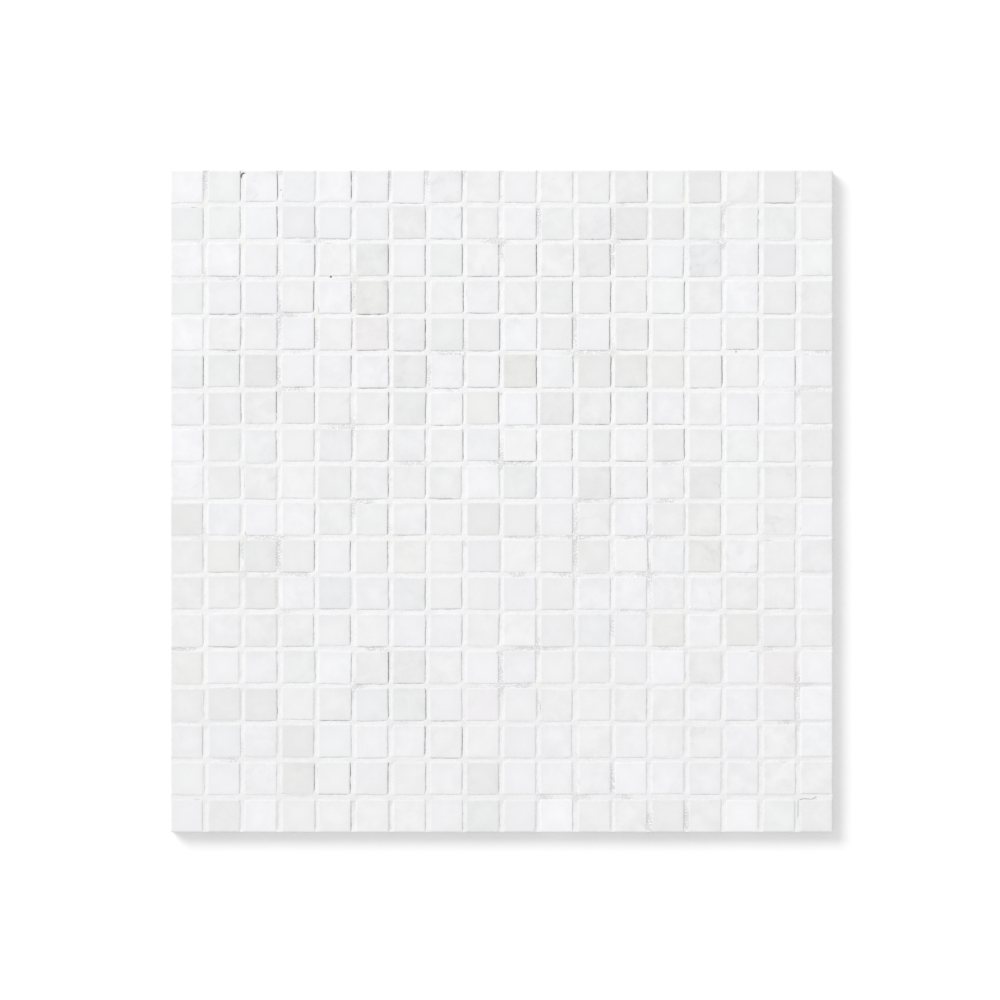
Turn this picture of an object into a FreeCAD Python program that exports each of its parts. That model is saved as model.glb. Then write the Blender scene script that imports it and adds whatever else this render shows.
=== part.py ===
import FreeCAD, Part
import Sketcher
import os

# A grouted sheet of square marble mosaic tiles on a glass-fibre mesh, lying face up.
#
# Eighteen rows of eighteen small sawn tiles stand on a mesh, one joint apart.
# Each tile's face has a small arris all round. Grout fills the joints to a little
# below the arrises, and at the sheet's edge the tiles stand bare, ready to butt up
# to the next sheet. The mesh is laid: one layer of flat yarns crosses over another.
#
# The origin is the middle of the sheet's back. +Z is the way the face looks, +X runs
# along a row, and row 1 is the row nearest +Y. All lengths are in millimetres.

PARTS_FOLDER = "parts"

SIZES = {
    "tile_columns": 18,
    "tile_rows": 18,
    "tile_side": 15.0,
    "tile_thickness": 9.5,
    "arris_width": 0.5,
    "joint_width": 2.0,
    "grout_recess": 0.6,
    "mesh_pitch": 5.0,
    "mesh_inset": 1.0,
    "yarn_width": 0.8,
    "yarn_thickness": 0.25,
}

# Expressions that several pieces share, all worked out from the cells of the sheet.
PITCH = "(sizes.tile_side + sizes.joint_width)"
SHEET_WIDTH = f"(sizes.tile_columns * {PITCH} - sizes.joint_width)"
SHEET_DEPTH = f"(sizes.tile_rows * {PITCH} - sizes.joint_width)"
MESH_WIDTH = f"({SHEET_WIDTH} - 2 * sizes.mesh_inset)"
MESH_DEPTH = f"({SHEET_DEPTH} - 2 * sizes.mesh_inset)"
MESH_TOP = "(2 * sizes.yarn_thickness)"

# The numbers that stand for a line's two ends and for a sketch's own origin and axes.
START, END = 1, 2
ORIGIN, X_AXIS, Y_AXIS = -1, -1, -2

# A rectangle as it is first drawn, before its constraints give it its place and size.
ROUGH_CORNERS = ((1, 1), (2, 1), (2, 2), (1, 2))
ROUGH_LENGTH = 1.0

# How far apart two heights may be and still count as the same.
LEVEL_TOLERANCE = 1e-6


def add_sizes(doc):
    """The spreadsheet whose cells drive every size."""
    sheet = doc.addObject("Spreadsheet::Sheet", "sizes")
    for number, (alias, value) in enumerate(SIZES.items(), start=1):
        sheet.set(f"A{number}", str(value))
        sheet.setAlias(f"A{number}", alias)
    doc.recompute()
    return sheet


def add_body(doc, name, x, y, z):
    """A body whose own origin stands at x, y, z, which are expressions."""
    body = doc.addObject("PartDesign::Body", name)
    body.Label = name
    body.AllowCompound = True
    body.setExpression(".Placement.Base.x", x)
    body.setExpression(".Placement.Base.y", y)
    body.setExpression(".Placement.Base.z", z)
    return body


def origin_feature(body, role):
    """A plane or an axis of the body's own origin."""
    return next(feature for feature in body.Origin.OriginFeatures if feature.Role == role)


def add_rectangle(body, name, width, depth, left=None, front=None):
    """A rectangle on the body's XY plane, left and front of zero where they aren't given."""
    sketch = body.newObject("Sketcher::SketchObject", name)
    sketch.AttachmentSupport = [(origin_feature(body, "XY_Plane"), "")]
    sketch.MapMode = "FlatFace"

    corners = [FreeCAD.Vector(x, y, 0) for x, y in ROUGH_CORNERS]
    for side in range(4):
        following = (side + 1) % 4
        sketch.addGeometry(Part.LineSegment(corners[side], corners[following]), False)
    for side in range(4):
        following = (side + 1) % 4
        sketch.addConstraint(Sketcher.Constraint("Coincident", side, END, following, START))
    for side, way in enumerate(("Horizontal", "Vertical", "Horizontal", "Vertical")):
        sketch.addConstraint(Sketcher.Constraint(way, side))

    add_length(sketch, "width", ("DistanceX", 0, START, 0, END), width)
    add_length(sketch, "depth", ("DistanceY", 1, START, 1, END), depth)
    if left is None:
        sketch.addConstraint(Sketcher.Constraint("PointOnObject", 0, START, Y_AXIS))
    else:
        add_length(sketch, "left", ("DistanceX", ORIGIN, START, 0, START), left)
    if front is None:
        sketch.addConstraint(Sketcher.Constraint("PointOnObject", 0, START, X_AXIS))
    else:
        add_length(sketch, "front", ("DistanceY", ORIGIN, START, 0, START), front)
    return sketch


def add_length(sketch, name, between, expression):
    """A named distance between two points of the sketch, bound to an expression."""
    index = sketch.addConstraint(Sketcher.Constraint(*between, ROUGH_LENGTH))
    sketch.renameConstraint(index, name)
    sketch.setExpression(f"Constraints.{name}", expression)


def add_pad(body, name, sketch, height):
    """The sketch's outline raised by a height, which is an expression."""
    pad = body.newObject("PartDesign::Pad", name)
    pad.Profile = sketch
    pad.setExpression("Length", height)
    return pad


def add_pattern(body, name, originals, role, spacing, count):
    """Repeats features along one of the body's own axes."""
    pattern = body.newObject("PartDesign::LinearPattern", name)
    pattern.Originals = originals
    pattern.Direction = (origin_feature(body, role), [""])
    pattern.Mode = "Spacing"
    pattern.setExpression("Offset", spacing)
    pattern.setExpression("Occurrences", count)
    body.Tip = pattern
    return pattern


def add_tile_row(doc, number):
    """One row of tiles. Each is sawn square and has an arris round its face."""
    body = add_body(
        doc,
        f"tile_row_{number:02d}",
        f"-{SHEET_WIDTH} / 2",
        f"{SHEET_DEPTH} / 2 - sizes.tile_side - {number - 1} * {PITCH}",
        MESH_TOP,
    )
    outline = add_rectangle(body, f"tile_outline_{number:02d}", "sizes.tile_side", "sizes.tile_side")
    block = add_pad(body, f"tile_block_{number:02d}", outline, "sizes.tile_thickness")
    doc.recompute()

    face = upper_face(block)
    arris = body.newObject("PartDesign::Chamfer", f"tile_arris_{number:02d}")
    arris.Base = (block, [face])
    arris.setExpression("Size", "sizes.arris_width")
    add_pattern(
        body,
        f"tiles_along_row_{number:02d}",
        [block, arris],
        "X_Axis",
        PITCH,
        "sizes.tile_columns",
    )
    return body


def upper_face(feature):
    """The name of the feature's highest level face."""
    top = feature.Shape.BoundBox.ZMax
    for index, face in enumerate(feature.Shape.Faces, start=1):
        if abs(face.BoundBox.ZMin - top) < LEVEL_TOLERANCE:
            return f"Face{index}"
    raise ValueError(f"{feature.Name} has no level top")


def add_grout(doc):
    """The filling of all the joints, one piece: strips along Y, crossed by strips along X."""
    body = add_body(doc, "grout", f"-{SHEET_WIDTH} / 2", f"-{SHEET_DEPTH} / 2", MESH_TOP)
    height = "sizes.tile_thickness - sizes.grout_recess"

    upright = add_rectangle(
        body, "upright_joint", "sizes.joint_width", SHEET_DEPTH, left="sizes.tile_side"
    )
    first_upright = add_pad(body, "upright_strip", upright, height)
    add_pattern(
        body, "upright_strips", [first_upright], "X_Axis", PITCH, "sizes.tile_columns - 1"
    )

    level = add_rectangle(
        body, "level_joint", SHEET_WIDTH, "sizes.joint_width", front="sizes.tile_side"
    )
    first_level = add_pad(body, "level_strip", level, height)
    crossed = add_pattern(
        body, "level_strips", [first_level], "Y_Axis", PITCH, "sizes.tile_rows - 1"
    )
    # The strips' tops stay plain rectangles, which meet edge to edge where strips cross.
    crossed.Refine = False
    return body


def yarn_count(length):
    """How many yarns fit side by side across a length of mesh, at the mesh's pitch."""
    return f"floor(({length} - sizes.yarn_width) / sizes.mesh_pitch) + 1"


def yarn_margin(length):
    """The strip that the yarns leave free at each side of that length."""
    taken = f"(({yarn_count(length)} - 1) * sizes.mesh_pitch + sizes.yarn_width)"
    return f"({length} - {taken}) / 2"


def add_weft(doc):
    """The lower layer of the mesh: flat yarns along X, side by side in Y."""
    start = f"-{MESH_DEPTH} / 2 + {yarn_margin(MESH_DEPTH)}"
    body = add_body(doc, "mesh_weft_yarns", f"-{MESH_WIDTH} / 2", start, "0")
    section = add_rectangle(body, "weft_outline", MESH_WIDTH, "sizes.yarn_width")
    yarn = add_pad(body, "weft_yarn", section, "sizes.yarn_thickness")
    count = yarn_count(MESH_DEPTH)
    add_pattern(body, "weft_yarns", [yarn], "Y_Axis", "sizes.mesh_pitch", count)
    return body


def add_warp(doc):
    """The upper layer of the mesh: flat yarns along Y, laid on the weft, under the tiles."""
    start = f"-{MESH_WIDTH} / 2 + {yarn_margin(MESH_WIDTH)}"
    body = add_body(
        doc, "mesh_warp_yarns", start, f"-{MESH_DEPTH} / 2", "sizes.yarn_thickness"
    )
    section = add_rectangle(body, "warp_outline", "sizes.yarn_width", MESH_DEPTH)
    yarn = add_pad(body, "warp_yarn", section, "sizes.yarn_thickness")
    count = yarn_count(MESH_WIDTH)
    add_pattern(body, "warp_yarns", [yarn], "X_Axis", "sizes.mesh_pitch", count)
    return body


def check(doc, bodies):
    """Stops the build if any object failed or any piece isn't a set of sound solids."""
    for item in doc.Objects:
        if "Invalid" in item.State or "Error" in item.State:
            raise ValueError(f"{item.Label} failed to build: {item.State}")
    for body in bodies:
        shape = body.Shape
        if shape.isNull() or not shape.isValid() or not shape.Solids:
            raise ValueError(f"{body.Label} is not a sound solid")


def main():
    doc = FreeCAD.newDocument("mosaic_sheet")
    sheet = add_sizes(doc)
    rows = [add_tile_row(doc, number) for number in range(1, int(sheet.tile_rows) + 1)]
    bodies = rows + [add_grout(doc), add_warp(doc), add_weft(doc)]
    doc.recompute()
    check(doc, bodies)

    os.makedirs(PARTS_FOLDER, exist_ok=True)
    for body in bodies:
        body.Shape.exportStep(os.path.join(PARTS_FOLDER, f"{body.Label}.step"))
        print(body.Label, len(body.Shape.Solids), "solids", round(body.Shape.Volume, 1), "mm3")


main()
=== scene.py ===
import math
from dataclasses import dataclass

import bmesh
import bpy
import numpy as np
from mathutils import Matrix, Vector, noise


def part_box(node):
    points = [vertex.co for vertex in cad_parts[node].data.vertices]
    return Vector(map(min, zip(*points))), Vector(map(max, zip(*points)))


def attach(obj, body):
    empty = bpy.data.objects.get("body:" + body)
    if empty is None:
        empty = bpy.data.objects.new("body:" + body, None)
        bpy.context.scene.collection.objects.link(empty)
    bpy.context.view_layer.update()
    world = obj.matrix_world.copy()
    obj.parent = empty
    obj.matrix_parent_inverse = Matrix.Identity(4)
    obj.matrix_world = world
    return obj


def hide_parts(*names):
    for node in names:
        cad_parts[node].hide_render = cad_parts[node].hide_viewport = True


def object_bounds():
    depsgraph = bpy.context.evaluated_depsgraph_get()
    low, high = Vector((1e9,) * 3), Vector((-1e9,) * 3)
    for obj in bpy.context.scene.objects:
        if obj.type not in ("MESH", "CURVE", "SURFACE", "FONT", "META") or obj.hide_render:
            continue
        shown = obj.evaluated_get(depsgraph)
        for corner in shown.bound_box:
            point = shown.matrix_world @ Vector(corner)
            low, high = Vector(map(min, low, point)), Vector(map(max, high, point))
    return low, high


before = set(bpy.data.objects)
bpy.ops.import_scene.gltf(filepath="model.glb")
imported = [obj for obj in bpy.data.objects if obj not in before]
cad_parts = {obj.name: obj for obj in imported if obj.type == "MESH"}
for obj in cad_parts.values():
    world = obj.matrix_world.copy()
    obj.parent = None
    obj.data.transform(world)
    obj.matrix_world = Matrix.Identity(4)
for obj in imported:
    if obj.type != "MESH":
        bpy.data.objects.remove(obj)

# The looks of a mosaic sheet: hand-laid marble tiles with small faults, rough grout
# in the joints and a laid glass-fibre mesh on the back. All lengths are in metres.

MM = 0.001
CAD_BOX = [list(corner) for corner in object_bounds()]
RANDOM = np.random.default_rng(18)

# The even grid, read from the frame. Row 1 is nearest +Y, column 1 nearest -X.
ROW_NODES = sorted(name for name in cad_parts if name.startswith("tile_row_"))
FIRST_ROW, SECOND_ROW = (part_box(name) for name in ROW_NODES[:2])
TILE_SIDE = FIRST_ROW[1][1] - FIRST_ROW[0][1]
PITCH = FIRST_ROW[0][1] - SECOND_ROW[0][1]
JOINT = PITCH - TILE_SIDE
SHEET_LOW, SHEET_HIGH = FIRST_ROW[0][0], FIRST_ROW[1][0]
COLUMNS = round((SHEET_HIGH - SHEET_LOW + JOINT) / PITCH)
ROWS = len(ROW_NODES)
FACE = FIRST_ROW[1][2]
BACK = FIRST_ROW[0][2]

# How the tiles stray from the grid: their mean growth and shift along X and Y, and the
# standard deviations of each fault.
MEAN_GROWTH = (0.20 * MM, 0.42 * MM)
MEAN_SHIFT = (-0.25 * MM, 0.34 * MM)
TILE_GROWTH = 0.12 * MM
TILE_SHIFT = 0.18 * MM
COLUMN_SHIFT = 0.10 * MM
TILE_TURN = math.radians(0.5)
FACE_SLOPE = 0.003
FACE_DROP = 0.06 * MM

# How the stone differs from tile to tile, in shares of its lightness. Spreads are standard
# deviations, pairs are ranges. The first corner is paler, over a reach counted in tiles.
TONE_SPREAD = 0.018
TONE_LIMITS = (-0.037, 0.04)
DARK_TONES = (-0.062, -0.038)
PALE_TONES = (0.028, 0.055)
PALE_CORNER = 0.018
PALE_REACH = 7.0
VEIN_SPREAD = 0.3
CLOUDINESS = (0.3, 1.6)
STONE_SEEDS = (-5.0, 5.0)

# The stone's casts. Lighter stone is bluer, warmer stone is less green, and so is the
# stone of the lower rows.
WARMTH_SPREAD = 0.0071
GREEN_SPREAD = 0.0031
TINTS = (0.010, 0.018)
WARMTH_BY_TONE = -0.16
GREEN_BY_TONE = -0.04
GREEN_BY_WARMTH = -0.27
GREEN_BY_ROW = -0.00028

# A tile's edges. The arris is a worn chamfer, given as shares of its width and drop, and
# two borders lie round the face. The arris gets a painted highlight and the borders painted
# shade, fading towards the face's middle. All waves are pairs of a rate, in waves a metre,
# and a size.
CORNER_RADII = (0.15 * MM, 0.60 * MM)
OUTER_RADIUS = 0.25 * MM
EDGE_TRIM = 0.14 * MM
ARRIS_WIDTHS = (0.30 * MM, 0.44 * MM)
ARRIS_STEEPNESS = 1.6
ARRIS_PROFILE = ((0.0, 1.0), (0.1, 0.8), (0.42, 0.4), (0.78, 0.1), (1.0, 0.0))
BACK_ARRIS = 0.2 * MM
EDGE_WAVES = ((1 / (4.0 * MM), 0.16 * MM), (1 / (1.3 * MM), 0.06 * MM))
FACE_BORDERS = (0.7 * MM, 5.2 * MM)
BORDER_PAINTED_SHADES = (0.8, 0.0)
ARRIS_PAINTED_HIGHLIGHT = -0.7
LEAST_RADIUS = 0.12 * MM
TILE_CREASE = math.radians(40)

# Chips in the arris. The reach is counted in steps along the tile's outline.
CHIP_CHANCE = 0.22
CHIP_DEPTHS = (0.25 * MM, 0.7 * MM)
CHIP_REACH = 1.7
CHIP_FALL = 0.5

# Steps round a tile: along each half corner, along a straight side, along a whole side.
CORNER_STEPS = 3
STRAIGHT_STEPS = 14
SIDE_STEPS = STRAIGHT_STEPS + 2 * CORNER_STEPS
RING = 4 * SIDE_STEPS

# The grout. Depths are below the tiles' faces. The lines along a joint run from one
# tile's wall to the other's, and at a crossing they stand at these shares of its width.
# Beside a gap there is a trough and then a rim, which lies between the wall and the base.
# Spreads are standard deviations.
UPRIGHT_DEPTH = 0.64 * MM
LEVEL_DEPTH = 0.36 * MM
CROSSING_DEPTH = 0.19 * MM
DEPTH_SPREAD = 0.10 * MM
LEAST_DEPTH = 0.05 * MM
CROSSING_REACH = 2.0 * MM
GAP_REACH = 0.5 * MM
GROUT_LAPS = (0.15 * MM, 0.40 * MM)
BRIM_DEPTH = 0.02 * MM
ACROSS = (0.0, 0.13, 0.25, 0.5, 0.8, 1.0)
TROUGH_SHARE = 0.45
RIM_SHARE = 0.4
WAVINESS = ((1 / (4.0 * MM), 0.10 * MM), (1 / (1.4 * MM), 0.05 * MM))
RAGGEDNESS = (1 / (1.1 * MM), 0.07 * MM)
GROUT_CREASE = math.radians(55)
STAIN_CHANCE = 0.06
STAIN_STRENGTHS = (0.2, 0.6)
STAIN_REACH = 1.8 * MM


@dataclass(frozen=True)
class Meeting:
    """How the grout meets a tile's side, and what is added where the sheet is open."""
    cover: float = 1.0
    cover_spread: float = 0.0
    open_cover: float = 0.0
    bare_depth: float = 0.0
    open_depth: float = 0.0
    gap: float = 0.0
    open_gap: float = 0.0


# The grout covers a share of the arris on each side of a tile. Where it doesn't, it lies
# deeper and shrank away to a gap. The upper and the left sides are covered all along.
# A gap's openness sets its trough's depth and the painted shade in it.
MEETINGS = {
    "right": Meeting(
        cover=0.32, cover_spread=0.30, open_cover=-0.8,
        bare_depth=0.42 * MM, open_depth=0.26 * MM, gap=0.07, open_gap=0.78,
    ),
    "top": Meeting(),
    "left": Meeting(),
    "bottom": Meeting(
        cover=0.50, cover_spread=0.32, open_cover=-0.6,
        bare_depth=0.36 * MM, open_depth=0.08 * MM, gap=0.08, open_gap=0.13,
    ),
}
SIDES = tuple(MEETINGS)
COVERED_DEPTH = 0.10 * MM
WALL_SPREAD = 0.06 * MM
GAP_SHAPE = 2.5
WIDE_GAPS = (0.45, 0.85)
GAP_WIDTHS = (0.17 * MM, 0.34 * MM)
GAP_DEPTH = 1.2 * MM
GAP_WAVES = ((1 / (2.8 * MM), 0.7), (1 / (0.9 * MM), 1.1))

# The sheet is most open round one place, a row and a column, and less so along a strip of
# columns. The reaches are counted in tiles too.
OPEN_PLACE = (5.0, 9.0)
OPEN_REACH = (4.5, 7.3)
OPEN_STRIP = 6.5
STRIP_REACH = 2.8
STRIP_OPENNESS = 0.4

# The few tiles, joints and crossings that stand out, counted from 1 as row, column.
DARK_TILES = {
    (1, 15), (2, 13), (3, 6), (3, 17), (4, 6), (6, 3), (6, 10), (6, 12), (6, 13), (7, 7),
    (7, 11), (9, 12), (9, 15), (10, 1), (10, 9), (11, 3), (11, 15), (12, 3), (12, 5), (13, 14),
    (13, 16), (14, 7), (14, 15), (15, 2), (15, 3), (15, 7), (16, 4), (17, 4), (17, 9), (18, 9),
}
PALE_TILES = {
    (1, 1), (1, 3), (1, 5), (1, 7), (3, 1), (3, 2), (5, 1), (8, 1), (9, 1), (15, 18),
    (17, 13), (18, 11), (18, 16),
}
WARM_TILES = {(5, 6), (6, 10), (11, 15), (13, 14), (14, 17), (15, 9)}
PINK_TILES = {(5, 6), (14, 17), (15, 9)}
GREEN_TILES = {(3, 8), (3, 18), (4, 14)}
VEINED_TILES = {
    (2, 12): 0.8, (2, 13): 0.5, (3, 15): 1.0, (5, 10): 0.8, (6, 10): 0.6, (10, 17): 0.8,
    (11, 16): 0.8, (16, 15): 0.8,
}
OPEN_ON_THE_RIGHT = {
    (1, 2), (1, 3), (1, 5), (3, 2), (3, 6), (3, 7), (3, 8), (4, 7), (4, 10), (4, 14),
    (5, 6), (5, 7), (5, 8), (5, 9), (5, 10), (5, 11), (5, 12), (5, 13), (6, 6), (6, 7),
    (6, 9), (7, 6), (7, 7), (7, 9), (7, 10), (7, 13), (8, 6), (8, 7), (9, 6), (11, 4),
    (11, 6), (15, 7),
}
STAINED_CROSSINGS = {(1, 1): 0.7, (2, 2): 0.5, (4, 4): 0.5, (1, 14): 0.8}

# Dark grit in the grout, by its place in the photograph, its half sides and its darkness.
# A grain has rings of points at these tilts, in degrees, and lumps of a rate and a size.
GRIT = (
    ((331.0, 277.0), (0.45 * MM, 0.36 * MM), 1.0),
    ((736.0, 352.0), (0.45 * MM, 0.28 * MM), 0.8),
    ((281.0, 190.0), (0.25 * MM, 0.35 * MM), 0.5),
    ((501.0, 394.0), (0.28 * MM, 0.22 * MM), 0.5),
    ((541.0, 447.0), (0.28 * MM, 0.24 * MM), 0.5),
    ((347.0, 541.0), (0.26 * MM, 0.26 * MM), 0.4),
    ((615.0, 692.0), (0.24 * MM, 0.24 * MM), 0.4),
    ((640.0, 207.0), (0.24 * MM, 0.24 * MM), 0.4),
)
GRIT_TURNS = 8
GRIT_TILTS = (-50, -15, 20, 55)
GRIT_LUMPS = (1.7, 0.5)

# Painted shade of fine cracks in the grout, as dark lines: two round the last tile and one
# in the first row's second joint, by their half widths, their darkness and their places in
# the photograph.
CRACK_SHADES = (
    (
        (0.05 * MM, 0.13 * MM), 0.7,
        ((799.4, 799.9), (800.8, 799.5), (802.5, 798.9), (805.0, 798.7), (808.0, 798.9),
         (811.0, 799.3), (813.6, 798.6), (815.2, 797.4), (816.6, 796.2)),
    ),
    (
        (0.04 * MM, 0.09 * MM), 0.55,
        ((797.9, 800.5), (798.0, 804.0), (797.9, 808.0), (797.9, 812.0), (797.7, 815.5),
         (796.9, 817.6)),
    ),
    (
        (0.20 * MM, 0.30 * MM), 0.9,
        ((241.2, 178.0), (241.3, 175.6), (241.9, 173.9), (243.4, 173.1), (246.4, 173.0)),
    ),
)
CRACK_DEPTH = 0.15 * MM
CRACK_RISE = 0.10 * MM
CRACK_TAPER = 0.7

# The mesh on the back. A yarn sways from side to side by a length, in waves so long, and
# its width swells by a share, at three times the rate.
YARN_PITCH = 5.0 * MM
YARN_STEP = 2.5 * MM
YARN_SIDES = 8
SWAY_WAVE = 9.0 * MM
SWAY = 0.12 * MM
SWELL_RATE = 3
SWELL = 0.12
YARN_SEED = 7.3
YARN_CREASE = math.radians(70)

# Noise is zero at whole numbers, so flat samples of it are taken between them.
BETWEEN = 0.5

# The photograph: its side and the sheet's middle and pitch in it, in its own pixels.
PHOTO_SIDE = 1000
PHOTO_PITCH = 37.03
PHOTO_MIDDLE = (501.6, 501.2)
PIXEL = PITCH / PHOTO_PITCH
LENS = 200.0
SENSOR = 36.0

# Light. A white surface that faces up gets about 1 in all.
SKY_SHARE = 0.72
SUN_SHARE = 0.30
SUN_RUN = (0.70, -0.70)
SUN_SOFTNESS = math.radians(28)
FLOOR_SIDE = 12.0
FLOOR_COLOUR = (0.90, 0.90, 0.90, 1)
FLOOR_SEEN = (1.02, 1.02, 1.02, 1)


@dataclass(frozen=True)
class Pattern:
    """Noise with so many features a metre, and the levels of it that give the two results."""
    scale: float
    levels: tuple = (0.3, 0.7)
    results: tuple = (0.0, 1.0)
    detail: float = 2.0
    roughness: float = 0.55
    distortion: float = 0.0


# Marble. Clouds, grain, wear, veins, a painted highlight on the arris and painted shade
# round the face's border are added to its lightness. A vein runs, in patches, where its
# noise is at a level: a line in a fainter halo, each with its reach. The honing is the
# roughness.
MARBLE_COLOUR = (0.8560, 0.8538, 0.8637)
CLOUDS = Pattern(130, results=(-0.021, 0.021), detail=3.0, roughness=0.6, distortion=0.4)
GRAIN = Pattern(2600, results=(-0.010, 0.010), roughness=0.6)
WEAR = Pattern(900, (0.35, 0.65), (-0.045, 0.02))
EDGE_PAINTED_LIGHT = -0.030
VEINS = Pattern(75, detail=4.0, distortion=0.9)
VEIN_LEVEL = 0.5
VEIN_LINE, VEIN_LINE_REACH = 1.0, 0.035
VEIN_HALO, VEIN_HALO_REACH = 0.45, 0.16
VEIN_PATCHES = Pattern(110, (0.42, 0.62))
VEIN_SHADE = -0.11
HONING = Pattern(500, results=(0.55, 0.66))
PITS = Pattern(1400, detail=3.0, roughness=0.6)
PIT_DEPTH, PIT_STRENGTH = 0.02 * MM, 0.6

# Grout. It is sandy all over and crumbly in patches, and it darkens one way over the
# sheet. Its gaps get painted shade, fine cracks get painted shade as dark as the grit, and
# stains come out in patches.
GROUT_COLOUR = (0.878, 0.8775, 0.8785, 1)
GROUT_ROUGHNESS = 0.9
CRUMBLY_PATCHES = Pattern(42, (0.54, 0.68))
SAND = Pattern(2000, (0.32, 0.68), (-0.030, 0.028), roughness=0.6)
CRUMBS = Pattern(1400, (0.34, 0.66), (-0.13, 0.10), roughness=0.6)
BLOTCHES = Pattern(260, results=(-0.016, 0.016), detail=3.0, roughness=0.6)
SAND_RELIEF, CRUMB_RELIEF = 0.5, 7.0
RELIEF_DEPTH, RELIEF_STRENGTH = 0.14 * MM, 0.9
GROUT_FADE_WAY = (0.25, -0.95, 0.0)
GROUT_FADE_REACH = (-0.03, 0.14)
GROUT_FADE = -0.045
GAP_PAINTED_SHADES = Pattern(900, (0.35, 0.65), (-0.85, -0.30))
STAIN_PATCHES = Pattern(420, (0.3, 0.6), (0.35, 1.0))
STAIN_COLOUR = (0.91, 0.90, 0.80, 1)
GRIT_AND_CRACK_SHADE_COLOUR = (0.05, 0.05, 0.05, 1)
STONE_GLOSS = 0.25

# Glass-fibre yarn. Its filaments are noise drawn out along the yarn.
YARN_COLOUR = (0.84, 0.85, 0.82)
YARN_ROUGHNESS = 0.45
FILAMENTS = Pattern(1.0, results=(-0.06, 0.05), detail=3.0, roughness=0.7)
FILAMENT_STRETCH = (120.0, 40.0, 6.0)
FILAMENT_DEPTH, FILAMENT_STRENGTH = 0.06 * MM, 0.7

# The sockets of the node that mixes two colours.
MIX_SHARE, MIX_FIRST, MIX_SECOND = 0, 6, 7
MIX_RESULT = 2


@dataclass
class Tile:
    """One tile's place, size, faults and stone. Lists of four go right, top, left, bottom."""
    row: int
    column: int
    centre: np.ndarray
    half: np.ndarray
    turn: float
    radii: np.ndarray
    arris: float
    drop: float
    slope: np.ndarray
    seed: np.ndarray
    tone: float
    cast: tuple
    vein: float
    cloudiness: float
    covers: np.ndarray
    wall_depths: np.ndarray
    gaps: np.ndarray
    gap_widths: np.ndarray
    bites: np.ndarray
    wobble: np.ndarray = None


def nominal_centre(row, column):
    """The grid's own place for a tile."""
    x = SHEET_LOW + TILE_SIDE / 2 + (column - 1) * PITCH
    y = SHEET_HIGH - TILE_SIDE / 2 - (row - 1) * PITCH
    return np.array((x, y))


def make_tile(row, column, column_shift):
    """Draws one tile's faults, in a fixed order."""
    shift = RANDOM.normal(MEAN_SHIFT, TILE_SHIFT) + column_shift
    half = (TILE_SIDE + RANDOM.normal(MEAN_GROWTH, TILE_GROWTH)) / 2
    turn = RANDOM.normal(0, TILE_TURN)
    radii = RANDOM.uniform(*CORNER_RADII, 4)
    arris = RANDOM.uniform(*ARRIS_WIDTHS)
    drop = abs(RANDOM.normal(0, FACE_DROP))
    slope = RANDOM.normal(0, FACE_SLOPE, 2)
    seed = RANDOM.uniform(*STONE_SEEDS, 3)
    tone, cast, vein, cloudiness = draw_stone(row, column)
    covers, wall_depths, gaps, gap_widths = draw_walls(row, column)
    centre = nominal_centre(row, column) + shift
    fit_to_sheet(centre, half, radii)
    tile = Tile(
        row, column, centre, half, turn, radii, arris, drop, slope, seed,
        tone, cast, vein, cloudiness, covers, wall_depths, gaps, gap_widths, draw_bites(),
    )
    tile.wobble = wobble(tile)
    return tile


def draw_stone(row, column):
    """A tile's tone, colour cast, share of veins and cloudiness."""
    tone = float(np.clip(RANDOM.normal(0, TONE_SPREAD), *TONE_LIMITS))
    lift = PALE_CORNER * math.exp(-((row - 1) ** 2 + (column - 1) ** 2) / PALE_REACH**2)
    tone += lift
    dark, pale = RANDOM.uniform(*DARK_TONES), RANDOM.uniform(*PALE_TONES)
    green, warmth = RANDOM.normal(0, GREEN_SPREAD), RANDOM.normal(0, WARMTH_SPREAD)
    green += GREEN_BY_WARMTH * warmth
    tint = RANDOM.uniform(*TINTS)
    vein = max(0.0, RANDOM.normal(0.0, VEIN_SPREAD))
    place = (row, column)
    if place in DARK_TILES:
        tone = dark
    if place in PALE_TILES:
        tone = pale + lift
    if place in WARM_TILES:
        warmth, green = tint, 0.0
    if place in PINK_TILES:
        green = -tint
    if place in GREEN_TILES:
        green = tint
    warmth += WARMTH_BY_TONE * tone
    green += GREEN_BY_TONE * tone + GREEN_BY_ROW * (row - ROWS / 2)
    cloudiness = RANDOM.uniform(*CLOUDINESS)
    return tone, (1.0, 1.0 + green, 1.0 - warmth), VEINED_TILES.get(place, vein), cloudiness


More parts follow.
